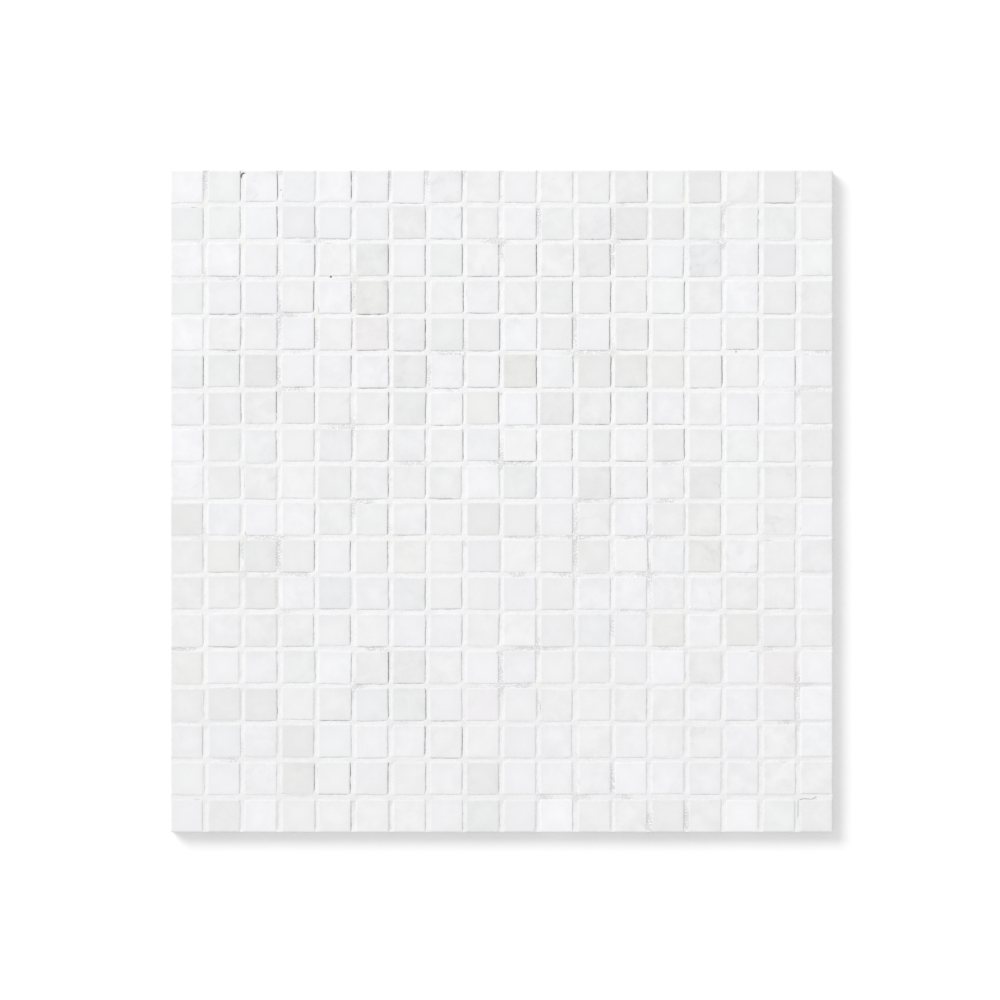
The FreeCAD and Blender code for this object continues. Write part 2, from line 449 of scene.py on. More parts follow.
def draw_walls(row, column):
    """For each side of a tile: the grout's cover and depth, and its gap's openness and width."""
    outer = {"right": column == COLUMNS, "top": row == 1, "left": column == 1, "bottom": row == ROWS}
    wide_right = (row, column) in OPEN_ON_THE_RIGHT
    apart = (np.array((row, column)) - OPEN_PLACE) / OPEN_REACH
    from_strip = (column - OPEN_STRIP) / STRIP_REACH
    openness = max(math.exp(-apart @ apart), STRIP_OPENNESS * math.exp(-from_strip**2))
    covers, depths, gaps, widths = [], [], [], []
    for side, meeting in MEETINGS.items():
        cover = RANDOM.normal(meeting.cover + openness * meeting.open_cover, meeting.cover_spread)
        gap = RANDOM.gamma(GAP_SHAPE, (meeting.gap + openness * meeting.open_gap) / GAP_SHAPE)
        wide = RANDOM.uniform(*WIDE_GAPS)
        if side == "right" and wide_right:
            cover, gap = 0.0, wide
        cover = 0.0 if outer[side] else min(1.0, max(0.0, cover))
        bare = meeting.bare_depth + openness * meeting.open_depth + RANDOM.normal(0, WALL_SPREAD)
        covers.append(cover)
        depths.append(COVERED_DEPTH + (1 - cover) * max(0.0, bare))
        gaps.append((1 - cover) * min(1.0, gap))
        widths.append(RANDOM.uniform(*GAP_WIDTHS))
    return np.array(covers), np.array(depths), np.array(gaps), np.array(widths)


def fit_to_sheet(centre, half, radii):
    """Pushes an outer tile out, so that its outer sides end up trimmed at the sheet's edge."""
    for axis in (0, 1):
        if centre[axis] - TILE_SIDE < SHEET_LOW:
            centre[axis] = min(centre[axis], SHEET_LOW + half[axis] - EDGE_TRIM)
            radii[CORNER_SIGNS[:, axis] < 0] = OUTER_RADIUS
        if centre[axis] + TILE_SIDE > SHEET_HIGH:
            centre[axis] = max(centre[axis], SHEET_HIGH - half[axis] + EDGE_TRIM)
            radii[CORNER_SIGNS[:, axis] > 0] = OUTER_RADIUS


def draw_bites():
    """How deep a chip reaches in at each point round a tile. Most tiles have none."""
    chipped = RANDOM.random() < CHIP_CHANCE
    place, depth = RANDOM.uniform(0, RING), RANDOM.uniform(*CHIP_DEPTHS)
    apart = np.abs((np.arange(RING) - place + RING / 2) % RING - RING / 2)
    return chipped * depth * np.clip(1 - apart / CHIP_REACH, 0, 1)


def ring_template():
    """For each point round a tile: the corners before and after, its share and its normal."""
    before, share, angles = [], [], []
    for side in range(4):
        for step in range(SIDE_STEPS):
            along = step - CORNER_STEPS
            past = max(0, along - STRAIGHT_STEPS)
            short = min(0, along)
            before.append(side)
            share.append(min(1, max(0, along / STRAIGHT_STEPS)))
            angles.append(90 * side + 45 * (past + short) / CORNER_STEPS)
    before = np.array(before)
    angles = np.radians(angles)
    normals = np.stack((np.cos(angles), np.sin(angles)), axis=1)
    return before, (before + 1) % 4, np.array(share)[:, None], normals


CORNER_SIGNS = np.array(((1, -1), (1, 1), (-1, 1), (-1, -1)))
BEFORE, AFTER, SHARE, NORMALS = ring_template()


def plain_outline(tile, inset):
    """The tile's rounded square in its own axes, drawn in by an inset."""
    radii = np.maximum(tile.radii - inset, LEAST_RADIUS)[:, None]
    centres = CORNER_SIGNS * (tile.half - inset - radii)
    start = centres[BEFORE] + radii[BEFORE] * NORMALS
    end = centres[AFTER] + radii[AFTER] * NORMALS
    return start + SHARE * (end - start)


def wobble(tile):
    """How far the tile's sides swell or shrink at each point of its outline."""
    swell = np.zeros(RING)
    for rate, size in EDGE_WAVES:
        spots = plain_outline(tile, 0) * rate
        swell += [size * noise.noise(Vector((x, y, 0)) + Vector(tile.seed)) for x, y in spots]
    return swell


def outline(tile, inset=0.0, bitten=0.0):
    """The tile's outline in the sheet's axes, inside the sheet's own edges."""
    reach = (tile.wobble - bitten * tile.bites)[:, None]
    local = plain_outline(tile, inset) + reach * NORMALS
    cosine, sine = math.cos(tile.turn), math.sin(tile.turn)
    turned = local @ np.array(((cosine, sine), (-sine, cosine)))
    return np.clip(turned + tile.centre, SHEET_LOW + inset, SHEET_HIGH - inset)


def face_height(tile, points):
    """The height of the tile's slightly sloping face over some points."""
    lean = np.abs(tile.slope) @ tile.half
    return FACE - tile.drop - lean + (points - tile.centre) @ tile.slope


def tile_rings(tile):
    """The tile's outlines from its back up to its face, each as points in space."""
    rings = []
    for inset, height in ((BACK_ARRIS, BACK), (0.0, BACK + BACK_ARRIS)):
        flat = outline(tile, inset)
        rings.append(np.column_stack((flat, np.full(RING, height))))
    for inward, downward in ARRIS_PROFILE:
        bitten = 1 - downward
        flat = outline(tile, tile.arris * inward, bitten)
        sunk = tile.arris * ARRIS_STEEPNESS * downward + bitten * tile.bites * CHIP_FALL
        rings.append(np.column_stack((flat, face_height(tile, flat) - sunk)))
    for border in FACE_BORDERS:
        flat = outline(tile, tile.arris + border)
        rings.append(np.column_stack((flat, face_height(tile, flat))))
    return rings


def turn_faces_outward(mesh):
    """Makes all the faces of a closed mesh look outward."""
    shape = bmesh.new()
    shape.from_mesh(mesh)
    bmesh.ops.recalc_face_normals(shape, faces=shape.faces)
    shape.to_mesh(mesh)
    shape.free()


def new_mesh(name, points, faces, crease):
    """A smooth object in the sheet's axes, sharp where its faces turn by more than a crease."""
    mesh = bpy.data.meshes.new(name)
    mesh.from_pydata([tuple(point) for point in points], [], faces)
    turn_faces_outward(mesh)
    mesh.shade_smooth()
    mesh.set_sharp_from_angle(angle=crease)
    piece = bpy.data.objects.new(name, mesh)
    bpy.context.scene.collection.objects.link(piece)
    return piece


def add_attribute(piece, name, values):
    """A number or a vector for each vertex, for the material to read."""
    values = np.asarray(values, dtype=np.float32)
    if values.ndim == 1:
        attribute = piece.data.attributes.new(name, "FLOAT", "POINT")
        attribute.data.foreach_set("value", values)
    else:
        attribute = piece.data.attributes.new(name, "FLOAT_VECTOR", "POINT")
        attribute.data.foreach_set("vector", values.ravel())


def add_piece(piece, node, material):
    """Puts a finished piece in the place of a node of the frame."""
    piece.data.materials.append(material)
    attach(piece, "root")
    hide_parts(node)


def loop_faces(first, second):
    """Quads between two closed loops of as many vertices, given by their first numbers."""
    faces = []
    for step in range(RING):
        following = (step + 1) % RING
        faces.append((first + step, first + following, second + following, second + step))
    return faces


def add_tile_row(row, tiles, material):
    """One row of tiles as one piece."""
    points, faces = [], []
    own_names = ("tone", "cast", "vein", "cloudiness")
    values = {name: [] for name in (*own_names, "edge", "arris", "stone_place")}
    for tile in tiles:
        rings = tile_rings(tile)
        start = len(points)
        for number, ring in enumerate(rings):
            points.extend(ring)
            if number:
                faces += loop_faces(start + (number - 1) * RING, start + number * RING)
        last = start + (len(rings) - 1) * RING
        faces.append(tuple(range(start + RING - 1, start - 1, -1)))
        faces.append(tuple(range(last, last + RING)))

        count = len(rings) * RING
        for name in own_names:
            values[name] += [getattr(tile, name)] * count
        below = count - len(FACE_BORDERS) * RING
        values["arris"] += [1.0] * below + [0.0] * (count - below)
        # The arris and the tile's sides get a painted highlight, the face's borders painted shade.
        values["edge"] += [ARRIS_PAINTED_HIGHLIGHT] * below
        for shade in BORDER_PAINTED_SHADES:
            values["edge"] += [shade] * RING
        middle = np.append(tile.centre, 0)
        values["stone_place"] += list(np.concatenate(rings) - middle + tile.seed)
    piece = new_mesh(f"marble_tiles_row_{row:02d}", points, faces, TILE_CREASE)
    for name, numbers in values.items():
        add_attribute(piece, name, numbers)
    add_piece(piece, f"tile_row_{row:02d}", material)


class Surface:
    """Vertices kept by key, so that neighbouring patches share them, and their faces."""

    def __init__(self):
        self.numbers = {}
        self.points = []
        self.gaps = []
        self.grit_and_crack_shades = []
        self.faces = []

    def vertex(self, key, point, gap=0.0, grit=0.0):
        """The number of the vertex with that key, made where it is new."""
        if key not in self.numbers:
            self.numbers[key] = len(self.points)
            self.points.append(tuple(point))
            self.gaps.append(gap)
            self.grit_and_crack_shades.append(grit)
        return self.numbers[key]

    def add_patch(self, lines):
        """Quads between lines of as many vertices each."""
        for line, following in zip(lines, lines[1:]):
            for step in range(len(line) - 1):
                self.faces.append((line[step], line[step + 1], following[step + 1], following[step]))


def smooth_step(value):
    """Rises softly from 0 to 1 between 0 and 1."""
    value = min(1.0, max(0.0, value))
    return value * value * (3 - 2 * value)


class Grout:
    """The filling of the joints as one closed mesh that follows the tiles' own outlines."""

    def __init__(self, tiles):
        self.tiles = tiles
        self.surface = Surface()
        self.walls, self.brims = {}, {}
        for place, tile in tiles.items():
            self.walls[place], self.brims[place] = self.wall(tile)
        self.crossing_depths = RANDOM.normal(CROSSING_DEPTH, DEPTH_SPREAD, (ROWS + 1, COLUMNS + 1))
        self.upright_depths = RANDOM.normal(UPRIGHT_DEPTH, DEPTH_SPREAD, (ROWS + 1, COLUMNS + 1))
        self.upright_depths += RANDOM.normal(0, DEPTH_SPREAD, COLUMNS + 1)
        self.level_depths = RANDOM.normal(LEVEL_DEPTH, DEPTH_SPREAD / 2, (ROWS + 1, COLUMNS + 1))

    @staticmethod
    def wall(tile):
        """Where the grout ends on a tile's arris, and the arris's heights there."""
        right, top, left, bottom = tile.covers * (GROUT_LAPS[1] - GROUT_LAPS[0])
        corners = np.array(((-right, bottom), (-right, -top), (left, -top), (left, bottom)))
        shift = corners[BEFORE] + SHARE * (corners[AFTER] - corners[BEFORE])
        wall = outline(tile, GROUT_LAPS[0]) + shift
        laps = GROUT_LAPS[0] - np.sum(shift * NORMALS, axis=1)
        inward, downward = zip(*ARRIS_PROFILE)
        sunk = tile.arris * ARRIS_STEEPNESS * np.interp(laps / tile.arris, inward, downward)
        return wall, face_height(tile, wall) - sunk

    def top(self, key, point, depth, gap=0.0):
        """A vertex of the rough upper surface, never proud of the tiles."""
        x, y = point
        on_wall = key[0] == "wall"
        waves = (*WAVINESS, RAGGEDNESS) if on_wall else WAVINESS
        rough = sum(size * noise.noise(Vector((x * rate, y * rate, rate))) for rate, size in waves)
        height = FACE - max(LEAST_DEPTH, depth + rough)
        if on_wall:
            row, column, step = key[1:]
            height = min(height, self.brims[row, column][step] - BRIM_DEPTH)
        return self.surface.vertex(key, (x, y, height), gap)

    def foot(self, wall):
        """The vertex on the mesh that stands under a wall's upper vertex."""
        row, column, step = wall
        return self.surface.vertex(("foot", *wall), (*self.walls[row, column][step], BACK))

    def joint_section(self, point, width, base, near_side, far_side):
        """Across a joint, the shares, depths and gaps of its lines."""
        near_lap, near_depth, near_gap, near_width = near_side
        far_lap, far_depth, far_gap, far_width = far_side
        x, y = point
        waves = [size * noise.noise(Vector((x * rate, y * rate, BETWEEN))) for rate, size in GAP_WAVES]
        break_up = max(0.0, 1 + sum(waves))
        near_gap = min(1.0, near_gap * break_up)
        far_gap = min(1.0, far_gap * break_up)
        trough = near_depth + GAP_DEPTH * near_gap
        near_rim = RIM_SHARE * near_depth + (1 - RIM_SHARE) * base
        far_rim = RIM_SHARE * far_depth + (1 - RIM_SHARE) * base
        shares = (
            0.0,
            (near_lap + TROUGH_SHARE * near_width) / width,
            (near_lap + near_width) / width,
            0.5,
            1 - (far_lap + far_width) / width,
            1.0,
        )
        depths = (trough, trough, near_rim, base, far_rim, far_depth + GAP_DEPTH * far_gap)
        return shares, depths, (near_gap, near_gap, 0.0, 0.0, 0.0, far_gap)

    def add_strip(self, first, second, base, end_depths, sides):
        """A stretch of joint between two tiles' sides, each a list of (row, column, step)."""
        lines, feet = [], []
        start, stop = (self.walls[place[:2]][place[2]] for place in (first[0], first[-1]))
        for step, (near, far) in enumerate(zip(first, second)):
            a, b = self.walls[near[:2]][near[2]], self.walls[far[:2]][far[2]]
            end = min(math.dist(a, start), math.dist(a, stop))
            blend, gap_blend = smooth_step(end / CROSSING_REACH), smooth_step(end / GAP_REACH)
            end_depth = end_depths[0] if step < SIDE_STEPS / 2 else end_depths[1]
            section = self.joint_section(a, math.dist(a, b), base, *sides)
            keys = [("line", near, far, number) for number in range(len(ACROSS))]
            keys[0], keys[-1] = ("wall", *near), ("wall", *far)
            line = []
            for key, plain, share, depth, gap in zip(keys, ACROSS, *section):
                point = a + (plain + blend * (share - plain)) * (b - a)
                depth = end_depth + blend * (depth - end_depth)
                line.append(self.top(key, point, depth, gap_blend * gap))
            lines.append(line)
            feet.append((self.foot(near), self.foot(far)))
        self.surface.add_patch(lines)
        self.close_strip(lines, feet)
        return lines, feet

    def close_strip(self, lines, feet):
        """The strip's two walls against the tiles, and its back."""
        near_feet, far_feet = zip(*feet)
        self.surface.faces.append((*[line[0] for line in lines], near_feet[-1], near_feet[0]))
        self.surface.faces.append((*[line[-1] for line in reversed(lines)], far_feet[0], far_feet[-1]))
        self.surface.faces.append((near_feet[0], near_feet[-1], far_feet[-1], far_feet[0]))

    def close_end(self, line, feet):
        """The grout's bare end at the sheet's edge."""
        self.surface.faces.append((*line, feet[1], feet[0]))

    def side(self, row, column, name):
        """How the grout meets one side of a tile: its lap and depth, its gap and the gap's width."""
        tile, number = self.tiles[row, column], SIDES.index(name)
        lap = GROUT_LAPS[0] + tile.covers[number] * (GROUT_LAPS[1] - GROUT_LAPS[0])
        return lap, tile.wall_depths[number], tile.gaps[number], tile.gap_widths[number]

    def add_upright(self, row, column):
        """The joint to the right of a tile, from its lower end up."""
        first = [(row, column, step) for step in range(SIDE_STEPS + 1)]
        second = [(row, column + 1, 3 * SIDE_STEPS - step) for step in range(SIDE_STEPS + 1)]
        ends = (self.crossing_depths[row, column], self.crossing_depths[row - 1, column])
        sides = (self.side(row, column, "right"), self.side(row, column + 1, "left"))
        lines, feet = self.add_strip(first, second, self.upright_depths[row, column], ends, sides)
        if row == 1:
            self.close_end(lines[-1], feet[-1])
        if row == ROWS:
            self.close_end(lines[0], feet[0])

    def add_level(self, row, column):
        """The joint below a tile, from its left end on."""
        first = [(row, column, (3 * SIDE_STEPS + step) % RING) for step in range(SIDE_STEPS + 1)]
        second = [(row + 1, column, 2 * SIDE_STEPS - step) for step in range(SIDE_STEPS + 1)]
        ends = (self.crossing_depths[row, column - 1], self.crossing_depths[row, column])
        sides = (self.side(row, column, "bottom"), self.side(row + 1, column, "top"))
        lines, feet = self.add_strip(first, second, self.level_depths[row, column], ends, sides)
        if column == 1:
            self.close_end(lines[0], feet[0])
        if column == COLUMNS:
            self.close_end(lines[-1], feet[-1])

    def add_crossing(self, row, column):
        """The patch where four tiles' corners meet, below and to the right of a tile."""
        upper = ((row, column, 0), (row, column + 1, 3 * SIDE_STEPS))
        lower = ((row + 1, column, SIDE_STEPS), (row + 1, column + 1, 2 * SIDE_STEPS))
        depth = self.crossing_depths[row, column]
        corners = [[self.walls[key[:2]][key[2]] for key in pair] for pair in (upper, lower)]
        last = len(ACROSS) - 1
        lines = []
        for down, fall in enumerate(ACROSS):
            line = []
            for over, share in enumerate(ACROSS):
                left = corners[0][0] + fall * (corners[1][0] - corners[0][0])
                right = corners[0][1] + fall * (corners[1][1] - corners[0][1])
                point = left + share * (right - left)
                line.append(self.top(self.crossing_key(upper, lower, down, over, last), point, depth))
            lines.append(line)
        self.surface.add_patch(lines)
        feet = [self.foot(key) for key in (upper[0], upper[1], lower[1], lower[0])]
        self.surface.faces.append(tuple(feet))

    @staticmethod
    def crossing_key(upper, lower, down, over, last):
        """The key of a crossing's vertex: a wall's, a shared line's or its own."""
        if down in (0, last) and over in (0, last):
            pair = upper if down == 0 else lower
            return ("wall", *pair[0 if over == 0 else 1])
        if down == 0:
            return ("line", *upper, over)
        if down == last:
            return ("line", *lower, over)
        if over == 0:
            return ("line", upper[0], lower[0], down)
        if over == last:
            return ("line", upper[1], lower[1], down)
        return ("crossing", upper[0], down, over)

    def build(self):
        """All the joints and crossings."""
        for row in range(1, ROWS + 1):
            for column in range(1, COLUMNS + 1):
                if column < COLUMNS:
                    self.add_upright(row, column)
                if row < ROWS:
                    self.add_level(row, column)
                if row < ROWS and column < COLUMNS:
                    self.add_crossing(row, column)


def crossing_centre(row, column):
    """The middle of the crossing below and to the right of a tile."""
    return nominal_centre(row, column) + np.array((PITCH, -PITCH)) / 2


def stains(points):
    """How cream each point of the grout is, round the crossings that are stained."""
    strengths = dict(STAINED_CROSSINGS)
    for row in range(1, ROWS):
        for column in range(1, COLUMNS):
            chance, strength = RANDOM.random(), RANDOM.uniform(*STAIN_STRENGTHS)
            if chance < STAIN_CHANCE:
                strengths.setdefault((row, column), strength)
    flat = np.asarray(points)[:, :2]
    total = np.zeros(len(flat))
    for (row, column), strength in strengths.items():
        apart = np.linalg.norm(flat - crossing_centre(row, column), axis=1)
        total += strength * np.exp(-((apart / STAIN_REACH) ** 2))
    return np.minimum(total, 1)


def from_photo(x, y):
    """The place on the sheet that the photograph shows at a pixel."""
    return np.array(((x - PHOTO_MIDDLE[0]) * PIXEL, (PHOTO_MIDDLE[1] - y) * PIXEL))


def add_grain(surface, number, middle, half_sides, darkness):
    """A small rough grain of grit, sunk to its middle in the grout."""
    level = FACE - UPRIGHT_DEPTH / 2
    lump_rate, lump_size = GRIT_LUMPS
    lines = []
    for tilt in np.radians(GRIT_TILTS):
        line = []
        for turn in range(GRIT_TURNS + 1):
            angle = 2 * math.pi * (turn % GRIT_TURNS) / GRIT_TURNS
            round_about = np.array((math.cos(angle), math.sin(angle))) * math.cos(tilt)
            ball = np.append(round_about, math.sin(tilt))
            lumpy = 1 + lump_size * noise.noise(Vector(ball) * lump_rate + Vector((number, 0, 0)))
            offset = ball * lumpy * (*half_sides, min(half_sides))
            x, y = np.clip(middle + offset[:2], SHEET_LOW, SHEET_HIGH)
            key = ("grit", number, tilt, turn % GRIT_TURNS)
            line.append(surface.vertex(key, (x, y, level + offset[2] / 2), grit=darkness))
        lines.append(line)
    surface.add_patch(lines)
    surface.faces.append(tuple(reversed(lines[0][:-1])))
    surface.faces.append(tuple(lines[-1][:-1]))


def add_crack_shade(surface, number, half_widths, darkness, path):
    """A fine dark line along a path, just proud of the grout: the painted shade of a crack."""
    middles = np.array([from_photo(*place) for place in path])
    ways = np.gradient(middles, axis=0)
    ways /= np.linalg.norm(ways, axis=1)[:, None]
    lines = []
    for step, (middle, way) in enumerate(zip(middles, ways)):
        across = np.array((-way[1], way[0])) * RANDOM.uniform(*half_widths)
        ends = step in (0, len(path) - 1)
        line = []
        for corner, (side, rise) in enumerate(((-1, -1), (0, 1), (1, -1), (-1, -1))):
            x, y = middle + across * side * (1 - CRACK_TAPER * ends)
            point = (x, y, FACE - CRACK_DEPTH + rise * CRACK_RISE)
            # The crack's darkness is painted shade.
            line.append(surface.vertex(("crack", number, step, corner % 3), point, grit=darkness))
        lines.append(line)
    surface.add_patch(lines)
    surface.faces.append(tuple(lines[0][:-1]))
    surface.faces.append(tuple(reversed(lines[-1][:-1])))


def add_grout(tiles, material):
    """The grout as one piece, with the grit and the painted shade of fine cracks that are in it."""
    grout = Grout(tiles)
    grout.build()
    surface = grout.surface
    for number, (place, half_sides, darkness) in enumerate(GRIT):
        add_grain(surface, number, from_photo(*place), half_sides, darkness)
    for number, (half_widths, darkness, path) in enumerate(CRACK_SHADES):
        add_crack_shade(surface, number, half_widths, darkness, path)
    piece = new_mesh("joint_grout", surface.points, surface.faces, GROUT_CREASE)
    add_attribute(piece, "stain", stains(surface.points))
    add_attribute(piece, "gap", surface.gaps)
    add_attribute(piece, "grit", surface.grit_and_crack_shades)
    add_piece(piece, "grout", material)


def add_yarns(name, node, along_x, material):
    """One layer of the mesh: flat yarns side by side, each a slightly swaying bundle."""
    low, high = (np.array(corner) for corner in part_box(node))
    run, side = (0, 1) if along_x else (1, 0)
    width = high[side] - low[side]
    count = int(width / YARN_PITCH) + 1
    yarn_width = width - (count - 1) * YARN_PITCH
    steps = round((high[run] - low[run]) / YARN_STEP)
    turns = np.arange(YARN_SIDES) * 2 * math.pi / YARN_SIDES
    points, faces, across = [], [], []
    for number in range(count):
        centre = low[side] + yarn_width / 2 + number * YARN_PITCH
        outer = number in (0, count - 1)
        start = len(points)
        for step in range(steps + 1):
            place = low[run] + (high[run] - low[run]) * step / steps
            spot = Vector((place / SWAY_WAVE, number * YARN_SEED, BETWEEN + run))
            sway = SWAY * noise.noise(spot)
            swell = 1 + SWELL * noise.noise(spot * SWELL_RATE)
            half_width = (yarn_width / 2 - abs(sway) * outer) * min(1, swell)
            for turn in turns:
                point = [0.0, 0.0, 0.0]
                point[run] = place
                point[side] = centre + sway * (not outer) + half_width * math.cos(turn)
                point[2] = (low[2] + high[2]) / 2 + (high[2] - low[2]) / 2 * math.sin(turn)
                points.append(point)
                across.append((place, number + math.cos(turn) / 4, turn))
        for step in range(steps):
            here = start + step * YARN_SIDES
            there = here + YARN_SIDES
            for turn in range(YARN_SIDES):
                following = (turn + 1) % YARN_SIDES
                faces.append((here + turn, here + following, there + following, there + turn))
        faces.append(tuple(range(start, start + YARN_SIDES)))
        last = start + steps * YARN_SIDES
        faces.append(tuple(range(last + YARN_SIDES - 1, last - 1, -1)))
    piece = new_mesh(name, points, faces, YARN_CREASE)
    add_attribute(piece, "yarn_place", across)
    add_piece(piece, node, material)


class Nodes:
    """A material's nodes, made and linked in few words."""

    def __init__(self, name):
        self.material = bpy.data.materials.new(name)
        self.material.use_nodes = True
        self.tree = self.material.node_tree
        self.shader = self.tree.nodes["Principled BSDF"]

    def add(self, kind, inputs=None, **settings):
        """A node with its settings and inputs. An input is a value or another node's socket."""
        node = self.tree.nodes.new(f"ShaderNode{kind}")
        for key, value in settings.items():
            setattr(node, key, value)
        for key, value in (inputs or {}).items():
            self.set(node, key, value)
        return node

    def set(self, node, key, value):
        """Sets an input to a value, or links it to a socket."""
        if isinstance(value, bpy.types.NodeSocket):
            self.tree.links.new(value, node.inputs[key])
        else:
            node.inputs[key].default_value = value

    def attribute(self, name):
        """A number that the mesh has at each vertex."""
        return self.add("Attribute", attribute_name=name).outputs["Fac"]

    def vector_attribute(self, name):
        """A vector that the mesh has at each vertex."""
        return self.add("Attribute", attribute_name=name).outputs["Vector"]

    def maths(self, operation, first, second=0.0):
        """One sum of two numbers."""
        return self.add("Math", {0: first, 1: second}, operation=operation).outputs[0]

    def total(self, *parts):
        """All the parts added up."""
        whole = parts[0]
        for part in parts[1:]:
            whole = self.maths("ADD", whole, part)
        return whole

    def product(self, *factors):
        """All the factors multiplied."""
        whole = factors[0]
        for factor in factors[1:]:
            whole = self.maths("MULTIPLY", whole, factor)
        return whole

    def vector(self, operation, first, second, result="Vector"):
        """One sum of two vectors."""
        return self.add("VectorMath", {0: first, 1: second}, operation=operation).outputs[result]

    def noise(self, place, pattern):
        """A pattern's noise at a place, as it is."""
        inputs = {
            "Vector": place,
            "Scale": pattern.scale,
            "Detail": pattern.detail,
            "Roughness": pattern.roughness,
            "Distortion": pattern.distortion,
        }
        return self.add("TexNoise", inputs).outputs["Fac"]

    def remap(self, value, levels, results):
        """Stretches a range of numbers onto another, softly, and no further."""
        inputs = {0: value, 1: levels[0], 2: levels[1], 3: results[0], 4: results[1]}
        return self.add("MapRange", inputs, interpolation_type="SMOOTHSTEP").outputs[0]

    def pattern(self, place, pattern):
        """A pattern's noise at a place, stretched to its results."""
        return self.remap(self.noise(place, pattern), pattern.levels, pattern.results)

    def mix(self, share, first, second):
        """Two colours mixed."""
        inputs = {MIX_SHARE: share, MIX_FIRST: first, MIX_SECOND: second}
        node = self.add("Mix", inputs, data_type="RGBA")
        return node.outputs[MIX_RESULT]

    def scaled(self, colour, factor):
        """A colour made lighter or darker by a factor."""
        node = self.add("VectorMath", {0: colour}, operation="SCALE")
        self.set(node, "Scale", factor)
        return node.outputs[0]

    def bump(self, height, depth, strength):
        """Fine relief, so many metres deep."""
        node = self.add("Bump", {"Height": height, "Distance": depth, "Strength": strength})
        self.set(self.shader, "Normal", node.outputs[0])

    def surface(self, colour, roughness):
        """The surface's colour and its roughness."""
        self.set(self.shader, "Base Color", colour)
        self.set(self.shader, "Roughness", roughness)


def marble_material():
    """White honed marble. Each tile has a tone and a cast of its own, soft clouds and veins."""
    nodes = Nodes("marble")
    place = nodes.vector_attribute("stone_place")
    clouds = nodes.product(nodes.pattern(place, CLOUDS), nodes.attribute("cloudiness"))
    grain = nodes.pattern(place, GRAIN)

    off_vein = nodes.maths("ABSOLUTE", nodes.maths("SUBTRACT", nodes.noise(place, VEINS), VEIN_LEVEL))
    line = nodes.remap(off_vein, (0.0, VEIN_LINE_REACH), (VEIN_LINE, 0.0))
    halo = nodes.remap(off_vein, (0.0, VEIN_HALO_REACH), (VEIN_HALO, 0.0))
    veined = nodes.maths("MAXIMUM", line, halo)
    vein = nodes.product(
        veined, nodes.pattern(place, VEIN_PATCHES), nodes.attribute("vein"), VEIN_SHADE
    )

    # Painted highlight on the arris and painted shade round the face's border.
    edge = nodes.product(nodes.attribute("edge"), EDGE_PAINTED_LIGHT)
    worn = nodes.product(nodes.attribute("arris"), nodes.pattern(place, WEAR))
    lightness = nodes.total(1.0, nodes.attribute("tone"), edge, worn, clouds, grain, vein)

    colour = nodes.vector("MULTIPLY", nodes.vector_attribute("cast"), MARBLE_COLOUR)
    nodes.surface(nodes.scaled(colour, lightness), nodes.pattern(place, HONING))
    nodes.set(nodes.shader, "Specular IOR Level", STONE_GLOSS)
    nodes.bump(nodes.noise(place, PITS), PIT_DEPTH, PIT_STRENGTH)
    return nodes.material


def grout_material():
    """White cement grout: fine sand, crumbly patches, painted shade in the gaps and cracks, dark grit
    and cream stains.
    """
    nodes = Nodes("grout")
    place = nodes.add("TexCoord").outputs["Object"]
    sand = nodes.noise(place, SAND)
    sandy = nodes.remap(sand, SAND.levels, SAND.results)
    crumbs = nodes.product(nodes.pattern(place, CRUMBS), nodes.pattern(place, CRUMBLY_PATCHES))
    blotches = nodes.pattern(place, BLOTCHES)
    along = nodes.vector("DOT_PRODUCT", place, GROUT_FADE_WAY, "Value")
    fade = nodes.remap(along, GROUT_FADE_REACH, (0.0, GROUT_FADE))
    # Painted shade in the gaps between the grout and the tiles.
    gap = nodes.product(nodes.attribute("gap"), nodes.pattern(place, GAP_PAINTED_SHADES))
    lightness = nodes.product(nodes.total(1.0, sandy, crumbs, blotches, fade), nodes.total(1.0, gap))

    stain = nodes.product(nodes.attribute("stain"), nodes.pattern(place, STAIN_PATCHES))
    colour = nodes.mix(stain, GROUT_COLOUR, STAIN_COLOUR)
    # Grit and the painted shade of cracks take the near-black colour.
    colour = nodes.mix(nodes.attribute("grit"), colour, GRIT_AND_CRACK_SHADE_COLOUR)
    nodes.surface(nodes.scaled(colour, lightness), GROUT_ROUGHNESS)
    nodes.set(nodes.shader, "Specular IOR Level", STONE_GLOSS)
    relief = nodes.total(nodes.product(sand, SAND_RELIEF), nodes.product(crumbs, CRUMB_RELIEF))
    nodes.bump(relief, RELIEF_DEPTH, RELIEF_STRENGTH)
    return nodes.material


def yarn_material():
    """Coated glass-fibre yarn: fine filaments along it under a slightly milky coat."""
    nodes = Nodes("glass_fibre")
    place = nodes.vector("MULTIPLY", nodes.vector_attribute("yarn_place"), FILAMENT_STRETCH)
    filaments = nodes.noise(place, FILAMENTS)
    streaks = nodes.remap(filaments, FILAMENTS.levels, FILAMENTS.results)
    nodes.surface(nodes.scaled(YARN_COLOUR, nodes.total(1.0, streaks)), YARN_ROUGHNESS)
    nodes.bump(filaments, FILAMENT_DEPTH, FILAMENT_STRENGTH)
    return nodes.material


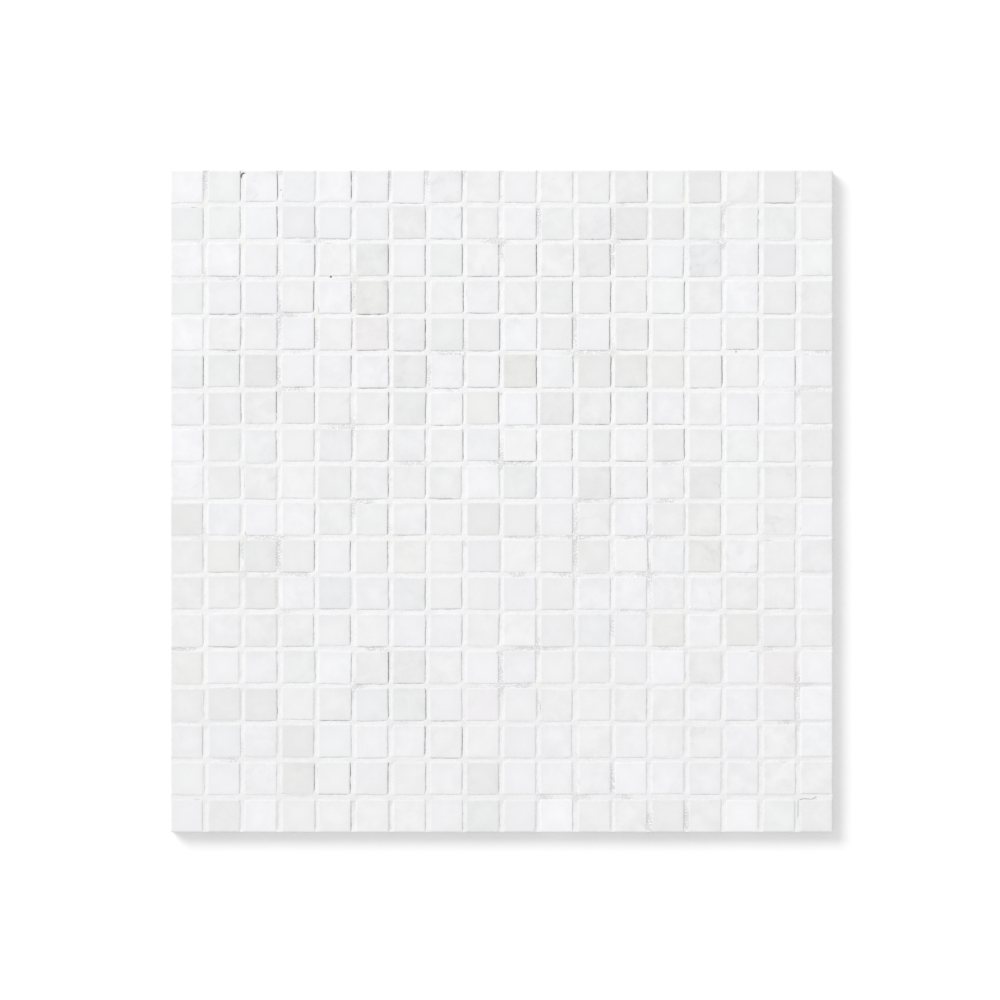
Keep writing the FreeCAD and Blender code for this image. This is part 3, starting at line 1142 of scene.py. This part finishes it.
def floor_material():
    """A pale matt floor. The camera sees it white, with the sheet's shadow kept."""
    material = bpy.data.materials.new("floor")
    material.use_nodes = True
    tree = material.node_tree
    tree.nodes.clear()
    path = tree.nodes.new("ShaderNodeLightPath")
    mix = tree.nodes.new("ShaderNodeMix")
    mix.data_type = "RGBA"
    mix.clamp_result = False
    mix.inputs[MIX_FIRST].default_value = FLOOR_COLOUR
    mix.inputs[MIX_SECOND].default_value = FLOOR_SEEN
    matt = tree.nodes.new("ShaderNodeBsdfDiffuse")
    output = tree.nodes.new("ShaderNodeOutputMaterial")
    tree.links.new(path.outputs["Is Camera Ray"], mix.inputs[MIX_SHARE])
    tree.links.new(mix.outputs[MIX_RESULT], matt.inputs["Color"])
    tree.links.new(matt.outputs[0], output.inputs["Surface"])
    return material


def add_floor():
    """The level floor that the sheet lies on."""
    half = FLOOR_SIDE / 2
    level = CAD_BOX[0][2]
    corners = [(-half, -half, level), (half, -half, level), (half, half, level), (-half, half, level)]
    mesh = bpy.data.meshes.new("floor")
    mesh.from_pydata(corners, [], [(0, 1, 2, 3)])
    mesh.materials.append(floor_material())
    floor = bpy.data.objects.new("floor", mesh)
    bpy.context.scene.collection.objects.link(floor)


def add_light():
    """A soft sun from the upper left and an even sky, which the camera sees white."""
    sun = bpy.data.lights.new("sun", "SUN")
    direction = Vector((*SUN_RUN, -1.0))
    sun.energy = SUN_SHARE * math.pi * direction.length
    sun.angle = SUN_SOFTNESS
    lamp = bpy.data.objects.new("sun", sun)
    lamp.rotation_mode = "QUATERNION"
    lamp.rotation_quaternion = direction.to_track_quat("-Z", "Y")
    bpy.context.scene.collection.objects.link(lamp)

    world = bpy.data.worlds.new("sky")
    bpy.context.scene.world = world
    world.use_nodes = True
    tree = world.node_tree
    background = tree.nodes["Background"]
    background.inputs["Color"].default_value = (1, 1, 1, 1)
    path = tree.nodes.new("ShaderNodeLightPath")
    seen = tree.nodes.new("ShaderNodeMath")
    seen.operation = "MAXIMUM"
    tree.links.new(path.outputs["Is Camera Ray"], seen.inputs[0])
    tree.links.new(path.outputs["Is Glossy Ray"], seen.inputs[1])
    strength = tree.nodes.new("ShaderNodeMapRange")
    strength.inputs["To Min"].default_value = SKY_SHARE
    strength.inputs["To Max"].default_value = 1.0
    tree.links.new(seen.outputs[0], strength.inputs["Value"])
    tree.links.new(strength.outputs[0], background.inputs["Strength"])


def add_camera():
    """Looks straight down, with the photograph's framing."""
    view = bpy.data.cameras.new("camera")
    view.lens = LENS
    view.sensor_width = SENSOR
    camera = bpy.data.objects.new("camera", view)
    field_side = PHOTO_SIDE * PIXEL
    x = (PHOTO_SIDE / 2 - PHOTO_MIDDLE[0]) * PIXEL
    y = (PHOTO_MIDDLE[1] - PHOTO_SIDE / 2) * PIXEL
    camera.location = (x, y, FACE + field_side * LENS / SENSOR)
    bpy.context.scene.collection.objects.link(camera)
    bpy.context.scene.camera = camera


def make_tiles():
    """All the tiles, by row and column."""
    shifts = RANDOM.normal(0, COLUMN_SHIFT, (COLUMNS + 1, 2))
    tiles = {}
    for row in range(1, ROWS + 1):
        for column in range(1, COLUMNS + 1):
            tiles[row, column] = make_tile(row, column, shifts[column])
    return tiles


def add_sheet():
    """The tiles, the grout between them and the mesh on their backs."""
    tiles = make_tiles()
    marble = marble_material()
    for row in range(1, ROWS + 1):
        add_tile_row(row, [tiles[row, column] for column in range(1, COLUMNS + 1)], marble)
    add_grout(tiles, grout_material())
    yarn = yarn_material()
    add_yarns("warp_yarns", "mesh_warp_yarns", False, yarn)
    add_yarns("weft_yarns", "mesh_weft_yarns", True, yarn)


add_camera()
add_light()
add_floor()
add_sheet()

bpy.context.scene.view_settings.view_transform = "Standard"
